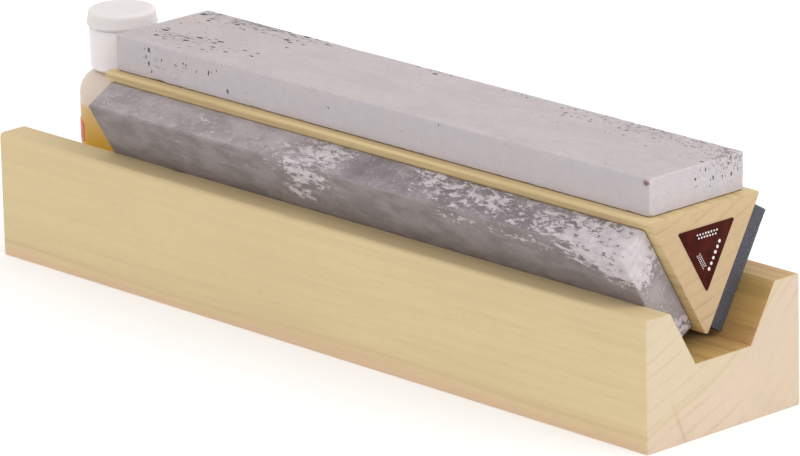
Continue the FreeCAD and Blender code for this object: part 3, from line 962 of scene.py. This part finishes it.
def bottle_look():
    """Milky plastic. The oil behind it tints the wall, more deeply towards the bottom.

    A little of the colour glows, which stands for the daylight that comes through from behind.
    """
    look = Look("bottle_milky_plastic")
    place = look.place()
    height = look.split(place)[2]
    haze = look.noise(place, 0.25, detail=3.0)
    scuff = look.noise(place, (1.6, 1.6, 0.3), detail=4.0, roughness=0.7)
    milk = look.blend(haze, paint(218, 202, 188), paint(226, 211, 198))
    amber = look.graded(height, 10.0, 24.0, (196, 157, 58), (198, 167, 110))
    level = look.plus(height, look.times(haze, 0.4))
    wetted = look.span(level, OIL_LINE - 1.0, OIL_LINE + 0.8, 1.0, 0.0)
    tone = look.blend(wetted, milk, amber)
    glow = look.plus(look.times(wetted, look.span(height, 8.0, 23.0, 0.3, 0.16)), 0.05)
    look.set(Base_Color=tone, Alpha=0.8, Specular_IOR_Level=0.3)
    look.set(Emission_Color=tone, Emission_Strength=glow)
    look.set(Roughness=look.span(scuff, 0.3, 0.75, 0.34, 0.52))
    look.bump(scuff, 0.12, 0.05)
    return look.material


def oil_look():
    """Amber honing oil, deeper in colour towards the bottom."""
    look = Look("honing_oil_amber")
    place = look.place()
    height = look.split(place)[2]
    swirl = look.noise(place, (0.12, 0.12, 0.2), detail=2.0, distortion=0.6)
    level = look.plus(height, look.times(swirl, 5.0))
    tone = look.graded(level, 5.0, 24.0, (206, 152, 40), (220, 186, 122))
    look.set(Base_Color=tone, Roughness=0.12, Specular_IOR_Level=0.3)
    # Painted light: the oil glows a little, standing for daylight that comes through the bottle.
    look.set(Emission_Color=tone, Emission_Strength=0.25)
    return look.material


def cap_look(name, low_tone, high_tone):
    """White moulded plastic, slightly waxy."""
    look = Look(name)
    place = look.place()
    haze = look.noise(place, 0.3, detail=2.0)
    skin = look.noise(place, 2.6, detail=2.0)
    look.set(Base_Color=look.blend(haze, low_tone, high_tone))
    look.set(Subsurface_Weight=0.6, Subsurface_Radius=(1.0, 0.8, 0.7), Subsurface_Scale=3.0 * MM)
    look.set(Roughness=look.span(skin, 0.3, 0.7, 0.36, 0.48))
    look.bump(skin, 0.1, 0.03)
    return look.material


def liner_look():
    """Soft white foam of the sealing disc."""
    look = Look("liner_white_foam")
    foam = look.cells(look.place(), 2.0)
    look.set(Base_Color=look.graded(foam, 0.1, 0.7, (214, 212, 206), (240, 239, 234)))
    look.set(Roughness=0.8)
    look.bump(foam, 0.4, 0.08)
    return look.material


# ---------------------------------------------------------------- the wooden pieces

def make_wood():
    cradle_tones = {
        "long": (paint(213, 192, 149), paint(215, 186, 152)),
        "end": (paint(204, 188, 163), paint(205, 187, 168)),
        "line": paint(176, 146, 108),
    }
    cradle = wood(
        "cradle_basswood", (-55.0, 100.0), 4.3, cradle_tones, (0.06, 0.27, 0.12), 101.0, branch=True
    )
    bar = wooden_bar("wooden_cradle", "cradle", cradle, 0.28, 9, 3)
    mark_painted_shade(bar)
    block_tones = {
        "long": (paint(213, 190, 143), paint(213, 187, 146)),
        "end": (paint(187, 161, 128), paint(189, 162, 130)),
        "line": paint(158, 124, 84),
    }
    block = wood("block_basswood", (-32.0, 138.0), 3.7, block_tones, (0.2, 0.42, 0.35), 130.0)
    wooden_bar("wooden_block", "triangle_block", block, 0.22, 5, 8)


# ---------------------------------------------------------------- the stones

def gaussian_spots(places, spots):
    """Adds up soft spots of (centre, reach, strength) at each place."""
    total = np.zeros(len(places))
    for centre, reach, strength in spots:
        away = np.linalg.norm((places - np.array(centre)) / np.array(reach), axis=1)
        total += strength * np.exp(-away ** 2)
    return total


def make_medium_stone():
    looks = (medium_stone_look(), pit_look("medium_stone_pits", paint(98, 90, 93), paint(140, 130, 133)))
    pits = [
        ("top", (1, 50), (0.2, 7.5), 90, 1.4),
        ("top", (4, 32), (19, 28.5), 44, 1.6),
        ("top", (34, 46), (20, 28), 5, 1.3),
        ("top", (0, 46), (5, 31), 26, 0.8),
        ("top", (92, 101), (0.8, 2.8), 14, 1.3),
        ("top", (84, 92), (0.5, 1.8), 6, 0.8),
        ("top", (118, 132), (0.5, 3.0), 12, 0.8),
        ("top", (140, 203), (0.5, 7.0), 74, 0.85),
        ("top", (165, 203), (4, 14), 22, 0.75),
        ("top", (60, 203), (2, 31), 14, 0.45),
        ("front", (11, 50), (0.8, 8.6), 12, 1.25),
        ("front", (50, 200), (1, 8.4), 5, 0.5),
        ("end", (14, 32), (0.8, 6.5), 17, 0.95),
        ("rear", (2, 60), (0.8, 8.6), 26, 1.2),
        ("rear", (60, 150), (0.8, 8.6), 10, 0.9),
        ("rear", (150, 202), (0.8, 8.6), 30, 1.0),
    ]
    piece, places, size = slab(
        "medium_honing_stone", "medium_stone", 0, looks, 21, base_edge=0.22, chips=1.6, pits=pits
    )
    rust = gaussian_spots(places, [
        ((size[0] - 1.4, 0.0, size[2] - 1.3), (1.7, 1.5, 1.4), 0.85),
        ((size[0], 0.2, 0.4), (1.2, 1.4, 0.8), 0.75),
        ((119.0, 0.0, size[2] - 0.4), (0.6, 0.6, 0.6), 0.6),
        ((95.0, 0.0, size[2] * 0.35), (0.5, 0.6, 1.0), 0.5),
    ])
    write_values(piece, "rust", rust)
    pecked = gaussian_spots(places, [
        ((22.0, size[1] - 1.0, size[2]), (26.0, 5.0, 3.0), 0.9),
        ((16.0, size[1] - 24.0, size[2]), (14.0, 4.5, 3.0), 0.75),
        ((178.0, size[1] - 2.0, size[2]), (34.0, 6.0, 3.0), 0.6),
        ((size[0], size[1] - 6.0, size[2]), (5.0, 9.0, 6.0), 0.6),
        ((20.0, 0.0, size[2] / 2), (20.0, 2.0, 5.0), 0.35),
    ])
    write_values(piece, "pecked", pecked)
    on_top = np.clip((places[:, 2] - size[2] + 0.6) / 0.5, 0, 1)
    write_values(piece, "side", 1 - on_top)
    shade(piece)
    settle(piece, "medium_stone")


def make_fine_stone():
    looks = (fine_stone_look(), pit_look("fine_stone_pits", paint(80, 74, 78), paint(140, 132, 136)))
    worn = [((1.0, 1.0, 1.0), 1.7, (9.0, 5.0, 5.0))]
    pits = [
        ("top", (10, 195), (1, 31), 20, 0.4),
        ("rear", (5, 198), (1, 8.5), 12, 0.4),
    ]
    piece, places, size = slab(
        "fine_honing_stone", "fine_stone", 120, looks, 35,
        base_edge=0.28, chips=1.2, worn_spots=worn, pits=pits,
    )
    length, width, thick = size
    clouds = [
        # along the side that looks up, from the plain end to the white end
        ((12, width, 5), (12, 5, 7), -0.05),
        ((44, width, 5), (5, 3, 4), 0.28),
        ((78, width, 7), (9, 6, 5), 0.36),
        ((91, width, 3), (8, 6, 6), 0.90),
        ((108, width, 5), (9, 7, 8), -0.32),
        ((126, width, 2), (8, 5, 4), 0.52),
        ((139, width, 4), (10, 6, 5), 0.60),
        ((153, width, 4), (6, 6, 5), 0.58),
        ((170, width, 5), (12, 7, 6), 0.50),
        ((185, width, 5), (9, 7, 6), 0.66),
        ((199, width, 5), (9, 9, 7), 0.95),
        # streaks on the working face
        ((33, width - 5, thick), (4, 2, 3), 0.62),
        ((50, width - 3, thick), (9, 1.5, 3), 0.50),
        ((85, width - 3, thick), (13, 5, 1.2), 1.15),
        ((78, width - 11, thick), (8, 3, 3), 1.15),
        ((140, width - 3, thick), (11, 2, 3), 0.92),
        ((163, width - 3.5, thick), (10, 2, 3), 1.00),
        ((190, width - 3, thick), (12, 4.5, 3), 1.15),
        ((201, width - 8, thick), (8, 4, 4), 1.05),
        # the near end: white above, a few flecks, and white at the foot
        ((length, width - 4, 5), (2, 5, 8), 0.95),
        ((length, width - 12, 5), (2, 1.6, 2.5), 0.35),
        ((length, 2.2, 5), (2, 2.8, 8), 0.92),
    ]
    honed = np.clip((places[:, 2] - thick + 0.7) / 0.4, 0, 1)
    write_values(piece, "cloud", gaussian_spots(places, clouds) - 0.42 * honed)
    near_end = np.clip((places[:, 0] - length + 0.7) / 0.4, 0, 1)
    write_values(piece, "honed", np.maximum(honed, near_end * 0.3))
    write_values(piece, "dusk", np.clip((places[:, 0] - 94) / 8, 0, 1) * (1 - near_end))
    shade(piece)
    settle(piece, "fine_stone")


def make_coarse_stone():
    looks = (coarse_stone_look(),)
    piece, _, _ = slab("coarse_honing_stone", "coarse_stone", 240, looks, 52, base_edge=0.34, chips=1.4)
    shade(piece)
    settle(piece, "coarse_stone")


GLUE_CORNER = 1.2
GLUE_WANDER = 0.22
GLUE_EDGE = 0.12


def make_glue(grade, turn_degrees, material):
    """A film of adhesive whose edge wanders, as it does when it is pressed out."""
    node = grade + "_bond"
    turn = face_turn(turn_degrees)
    low, high = own_box(node, turn)
    flat = np.array([(low[0], low[1]), (high[0], low[1]), (high[0], high[1]), (low[0], high[1])])
    outline = resampled(rounded(flat, [GLUE_CORNER] * 4), 1.0)
    step_in = inward(outline)
    wander = [noise.noise(Vector((p[0] * 0.35, p[1] * 0.35, turn_degrees))) for p in outline]
    outline = outline + step_in * GLUE_WANDER * np.array(wander)[:, None]
    points = []
    for height, draw in ((low[2], GLUE_EDGE), ((low[2] + high[2]) / 2, 0.0), (high[2], GLUE_EDGE)):
        points.extend((x, y, height) for x, y in outline + step_in * draw)
    own = np.array(points)
    piece = add_piece(grade + "_glue_film", own @ turn.T, ring_faces(3, len(outline)), material)
    write_values(piece, "place", own - low)
    shade(piece)
    settle(piece, node)


# ---------------------------------------------------------------- the label on the block's end

def grain_outline(chance, y, z, size):
    """A small rounded many-sided grain."""
    sides = chance.randint(5, 7)
    start = chance.random() * math.pi
    corners = []
    for k in range(sides):
        angle = start + 2 * math.pi * k / sides
        reach = size * chance.uniform(0.78, 1.1)
        corners.append((y + reach * math.cos(angle), z + reach * math.sin(angle)))
    return rounded(corners, [size * 0.22] * sides, 2)


def grit_marks(name, outlines, base, top, material):
    """Thin raised marks on the label."""
    points, faces = [], []
    for outline in outlines:
        start, count = len(points), len(outline)
        points.extend((base, y, z) for y, z in outline)
        points.extend((top, y, z) for y, z in outline + inward(outline) * 0.02)
        faces.extend([start + k for k in face] for face in ring_faces(2, count))
    return add_piece(name, points, faces, material)


def make_label():
    low, high = box_mm("end_label")
    outline = resampled(near_outline("end_label"), 0.9)
    paper, ink = label_look(), ink_look()
    piece = prism("grade_label", outline, low[0], high[0], 0.05, 1.0, paper)
    finish_piece(piece, "end_label", (0, 0, 0))

    side = high[1] - low[1]
    inradius = side / (2 * math.sqrt(3))
    centre_z = high[2] - inradius
    chance = random.Random(4)
    fields = [
        # turn about the centre, grain size, step between grains, rows, grains in a row, shift sideways
        (0.0, 0.34, 1.0, 2, 8, 0.2),
        (120.0, 0.2, 0.6, 3, 8, -1.8),
        (240.0, 0.55, 1.5, 1, 6, 0.9),
    ]
    outlines = []
    for turn, size, step, rows, count, shift in fields:
        spin = math.radians(turn)
        for row in range(rows):
            for k in range(count - row % 2):
                along = (k - (count - 1 - row % 2) / 2) * step + shift
                out = inradius - 1.5 - max(size, 0.35) - row * step * 0.9
                y = along * math.cos(spin) - out * math.sin(spin)
                z = along * math.sin(spin) + out * math.cos(spin)
                outlines.append(grain_outline(chance, y, centre_z + z, size))
    marks = grit_marks("grade_marks", outlines, high[0] - 0.02, high[0] + 0.03, ink)
    write_values(marks, "place", points_mm(marks))
    shade(marks)
    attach(marks, "stone_block")


# ---------------------------------------------------------------- the bottle

NECK_RADIUS = 6.3
NECK_BORE = 4.9
NECK_BASE = 32.0
SHOULDER = 31.0
SHOULDER_ROUND = 6.6
HEEL_ROUND = 6.0
WALL = 0.9
FOOT_RISE = 0.8
THREAD_PITCH = 2.5
THREAD_ROOTED = 0.2
NECK_THREAD_START = 34.4
NECK_THREAD_CREST = 7.0
NECK_TURNS = 2.0
SEAM_ANGLE = 62.0


def bottle_axis():
    low, high = box_mm("bottle_body")
    return (low + high) / 2, low[2], high


def part_line(piece, centre, body_radius, top):
    """Raises the fine seam that a two-part mould leaves on both sides of a bottle."""
    points = points_mm(piece)
    offset = points - centre
    radius = np.hypot(offset[:, 0], offset[:, 1])
    angle = np.degrees(np.arctan2(offset[:, 1], offset[:, 0]))
    past_seam = abs(angle - SEAM_ANGLE) % 180
    off_seam = np.minimum(past_seam, 180 - past_seam)
    outside = (radius > body_radius - 0.6) & (points[:, 2] < top)
    rise = 0.07 * np.exp(-(off_seam * math.pi / 180 * radius / 0.35) ** 2) * outside
    points[:, :2] += offset[:, :2] / np.maximum(radius, 1e-6)[:, None] * rise[:, None]
    set_points(piece, points)


def make_bottle():
    centre, base, high = bottle_axis()
    radius = (high - centre)[0]
    height = high[2] - base
    inner = radius - WALL
    floor = FOOT_RISE + WALL
    corners = [
        (0.0, FOOT_RISE, 0), (4.6, FOOT_RISE, 0.4), (5.4, 0.0, 0.4), (radius, 0.0, HEEL_ROUND),
        (radius, SHOULDER, SHOULDER_ROUND), (NECK_RADIUS, NECK_BASE, 0.5), (NECK_RADIUS, height, 0.3),
        (NECK_BORE, height, 0.3), (NECK_BORE, NECK_BASE - WALL, 0.4),
        (inner, SHOULDER - WALL, SHOULDER_ROUND - WALL), (inner, floor, HEEL_ROUND - WALL), (0.0, floor, 0),
    ]
    material = bottle_look()
    piece = turned_piece("oil_bottle", corners, centre, base, material)
    part_line(piece, centre, radius, base + SHOULDER - SHOULDER_ROUND + 1)
    ridge = helix_ridge(
        "neck_ridge", centre, base + NECK_THREAD_START, NECK_TURNS, THREAD_PITCH,
        NECK_RADIUS - THREAD_ROOTED, NECK_THREAD_CREST, material,
    )
    combine(piece, ridge, "UNION")
    finish_piece(piece, "bottle_body", (centre[0], centre[1], base), 40)


def make_oil():
    low, high = box_mm("honing_oil")
    centre = (low + high) / 2
    radius = (high - low)[0] / 2
    top = high[2] - low[2]
    _, _, bottle_top = bottle_axis()
    gap = bottle_top[0] - WALL - high[0]
    corners = [
        (0.0, 0.0, 0), (radius, 0.0, HEEL_ROUND - WALL - gap), (radius, top, 0.05),
        (radius - 0.25, top - 0.05, 0.1), (radius - 1.6, top - 0.5, 1.0), (0.0, top - 0.55, 0),
    ]
    piece = turned_piece("oil_fill", corners, centre, low[2], oil_look())
    finish_piece(piece, "honing_oil", (centre[0], centre[1], low[2]), 60)


def make_band():
    """The paper band, bent from a flat strip with rounded corners."""
    low, high = box_mm("bottle_label")
    centre, _, top = bottle_axis()
    gap, thick, corner = 0.02, 0.15, 0.9
    inner = (top - centre)[0] + gap
    height = high[2] - low[2]
    start, span = math.radians(31.0), math.radians(220.0)
    length = span * (inner + thick)
    flat = np.array([(0, 0), (length, 0), (length, height), (0, height)])
    outline = resampled(rounded(flat, [corner] * 4, 6), 0.8)
    columns = np.unique(np.round(outline[:, 0], 4))
    points = []
    for x in columns:
        edge = min(x, length - x)
        draw = corner - math.sqrt(max(corner ** 2 - max(corner - edge, 0.0) ** 2, 0.0))
        angle = start + span * x / length
        for depth, z in ((0, draw), (thick, draw), (thick, height - draw), (0, height - draw)):
            reach = inner + depth
            x_out, y_out = reach * math.cos(angle), reach * math.sin(angle)
            points.append((centre[0] + x_out, centre[1] + y_out, low[2] + z))
    piece = add_piece("bottle_band", points, ring_faces(len(columns), 4), band_look())
    weld(piece)
    finish_piece(piece, "bottle_label", (centre[0], centre[1], low[2]))


# ---------------------------------------------------------------- the cap and its lid

def hinge_place():
    """The hinge line of the lid, from its joint, in millimetres."""
    joint = next(j for j in frame["joints"] if j["name"] == "lid_flip")
    return np.array(joint["pos_m"]) / MM


HINGE_RADIUS = 0.6
BARREL_HALF = 1.5
EAR_GAP = 0.1
EAR_LENGTH = 1.1
# LID_PLAY is from the hinge line to the cap's rim, and to the lid. OVERLAP sinks small joined pieces in.
LID_PLAY = 0.025
OVERLAP = 0.03
CAP_RADIUS = 9.2
CAP_BORE = 7.25
CAP_DECK = 1.2
CAP_TURNS = 1.5
CAP_THREAD_START = 0.95
CAP_THREAD_CREST = 6.55
SPOUT_RADIUS = 1.9
SPOUT_HOLE = 1.0


def make_liner():
    low, high = box_mm("cap_liner")
    centre = (low + high) / 2
    radius, height = (high - low)[0] / 2, (high - low)[2]
    corners = [(1.2, 0, 0.1), (radius, 0, 0.15), (radius, height, 0.15), (1.2, height, 0.1)]
    piece = turned_piece("seal_disc", corners, centre, low[2], liner_look())
    finish_piece(piece, "cap_liner", centre)


def make_cap(material):
    centre, _, _ = bottle_axis()
    low, high = box_mm("cap_body")
    hinge = hinge_place()
    rim = hinge[2] - low[2] - LID_PLAY
    tip, deck = high[2] - low[2], rim - CAP_DECK
    corners = [
        (CAP_RADIUS - 0.25, 0.0, 1.3), (CAP_RADIUS, rim, 0.05),
        (SPOUT_RADIUS + 0.3, rim, 0.2), (SPOUT_RADIUS, tip, 0.25),
        (SPOUT_HOLE, tip, 0.1), (SPOUT_HOLE, deck, 0.05), (CAP_BORE, deck, 0.3), (CAP_BORE, 0.0, 0.15),
    ]
    piece = turned_piece("screw_cap", corners, centre, low[2], material)
    ridge = helix_ridge(
        "cap_ridge", centre, low[2] + CAP_THREAD_START, CAP_TURNS, THREAD_PITCH,
        CAP_BORE + THREAD_ROOTED, CAP_THREAD_CREST, material,
    )
    combine(piece, ridge, "UNION")
    for side in (-1, 1):
        near, far = BARREL_HALF + EAR_GAP, BARREL_HALF + EAR_GAP + EAR_LENGTH
        ends = sorted((side * near, side * far))
        ear = cross_bar("ear", disc_outline(hinge[0], hinge[2], HINGE_RADIUS), *ends, material)
        combine(piece, ear, "UNION")
        web_top, foot = low[2] + rim - OVERLAP, centre[0] - CAP_RADIUS + 0.6
        web = [(hinge[0], web_top), (foot, low[2] + rim - 1.6), (foot, web_top)]
        combine(piece, cross_bar("web", web, *ends, material), "UNION")
    finish_piece(piece, "cap_body", (centre[0], centre[1], low[2]), 38)


def make_lid(material):
    centre, _, _ = bottle_axis()
    _, high = box_mm("cap_lid")
    hinge = hinge_place()
    base = hinge[2] + LID_PLAY
    height = high[2] - base
    ceiling = height - 1.0
    corners = [
        (0.0, height, 0), (0.0, 0.0, 0), (0.75, 0.0, 0.2), (0.75, ceiling, 0.3),
        (8.5, ceiling, 0.5), (8.9, 0.0, 0.1), (9.35, 0.0, 0.04), (9.85, 0.8, 0.5), (9.45, 2.4, 0.9),
        (9.25, height, 1.0),
    ]
    piece = turned_piece("flip_lid", corners[::-1], centre, base, material)
    barrel = cross_bar(
        "barrel", disc_outline(hinge[0], hinge[2], HINGE_RADIUS), -BARREL_HALF, BARREL_HALF, material
    )
    combine(piece, barrel, "UNION")
    foot = centre[0] - CAP_RADIUS
    web = [(hinge[0], base), (foot, base), (foot, base + 0.6), (hinge[0], base + HINGE_RADIUS - OVERLAP)]
    combine(piece, cross_bar("bridge", web, -BARREL_HALF, BARREL_HALF, material), "UNION")
    finish_piece(piece, "cap_lid", (centre[0], centre[1], base), 38)


# ---------------------------------------------------------------- studio

FLOOR_HALF = 6.0


def direction(azimuth, elevation):
    """The unit vector towards an azimuth and elevation in degrees. Azimuth 0 is along -Y, and 90 is at +X."""
    a, e = math.radians(azimuth), math.radians(elevation)
    return Vector((math.sin(a) * math.cos(e), -math.cos(a) * math.cos(e), math.sin(e)))


def add_floor():
    look = Look("studio_paper")
    grain = look.noise(look.node("TexCoord", {}).outputs["Object"], 90.0, detail=2.0)
    look.set(Base_Color=look.blend(grain, (0.70, 0.70, 0.70, 1), (0.72, 0.72, 0.72, 1)), Roughness=0.9)
    look.set(Emission_Color=(1.0, 1.0, 1.0, 1.0), Emission_Strength=0.32)
    corners = [(x * FLOOR_HALF, y * FLOOR_HALF, 0) for x, y in ((-1, -1), (1, -1), (1, 1), (-1, 1))]
    mesh = bpy.data.meshes.new("studio_floor")
    mesh.from_pydata(corners, [], [(0, 1, 2, 3)])
    mesh.materials.append(look.material)
    put_in_scene("studio_floor", mesh)


def add_lights(middle):
    """Even light from everywhere, and one soft box a little to the right and above."""
    world = bpy.data.worlds.new("studio")
    world.use_nodes = True
    background = world.node_tree.nodes["Background"]
    background.inputs["Color"].default_value = (1.0, 1.0, 1.0, 1.0)
    background.inputs["Strength"].default_value = 1.0
    bpy.context.scene.world = world

    azimuth, elevation, distance = 105.0, 33.0, 1.6
    light = bpy.data.lights.new("key", "AREA")
    light.shape = "SQUARE"
    light.size = 1.2
    light.energy = 7.5
    light.color = (1.0, 0.99, 0.98)
    lamp = put_in_scene("key", light)
    back = direction(azimuth, elevation)
    lamp.location = middle + back * distance
    lamp.rotation_euler = back.to_track_quat("Z", "Y").to_euler()


def add_camera(middle):
    """The camera stands level with the photo's view: far off, turned and tipped, with a slight roll."""
    azimuth, elevation, roll = 47.29, 16.99, -1.39
    distance, focal_length = 1.7278, 295.12
    aim = middle + Vector((0.0063, 0.0, -0.0058))
    camera = put_in_scene("camera", bpy.data.cameras.new("camera"))
    back = direction(azimuth, elevation)
    upright = back.to_track_quat("Z", "Y")
    rolled = upright.to_matrix() @ Matrix.Rotation(math.radians(roll), 3, "Z")
    camera.matrix_world = Matrix.Translation(aim + back * distance) @ rolled.to_4x4()
    camera.data.sensor_width = 36.0
    camera.data.lens = focal_length
    camera.data.clip_end = 20.0
    bpy.context.scene.camera = camera


def main():
    make_wood()
    make_medium_stone()
    make_fine_stone()
    make_coarse_stone()
    glue = glue_look()
    for grade, turn in (("medium", 0), ("fine", 120), ("coarse", 240)):
        make_glue(grade, turn, glue)
    make_label()
    make_bottle()
    make_oil()
    make_band()
    make_liner()
    # Painted light: the cap's plastic is lighter than the lid's, to offset the shade that the lid's overhang
    # and the stone beside it cast on the cap.
    make_cap(cap_look("cap_plastic_lightened_for_shade", paint(230, 222, 223), paint(234, 227, 227)))
    make_lid(cap_look("lid_white_plastic", paint(221, 212, 210), paint(226, 217, 215)))
    middle = (cad_box[0] + cad_box[1]) / 2
    add_floor()
    add_lights(middle)
    add_camera(middle)
    bpy.context.scene.view_settings.view_transform = "Standard"


main()
